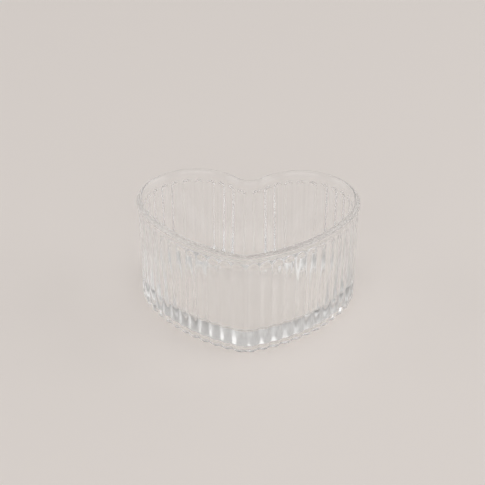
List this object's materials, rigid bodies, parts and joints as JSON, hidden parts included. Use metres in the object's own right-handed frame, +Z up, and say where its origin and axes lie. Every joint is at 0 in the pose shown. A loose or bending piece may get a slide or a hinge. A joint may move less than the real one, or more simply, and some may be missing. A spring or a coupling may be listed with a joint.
{
  "type": "heart-shaped trinket dish",
  "caption": "Open heart-shaped dish of clear pressed glass, reeded outside, with a round beaded rim and a thick solid floor, that holds jewellery and trinkets.",
  "frame": {"origin": "on the surface the dish stands on, under the middle of its box", "axes": "+Z up; +X across the two lobes; -Y towards the tip of the heart and +Y towards the lobes and the cleft"},
  "size_m": [0.1, 0.074, 0.0515],
  "materials": {
    "clear_glass": "clear pressed glass, fire-polished and smooth"
  },
  "bodies": {
    "root": {"heart_dish": "clear_glass"}
  },
  "joints": []
}
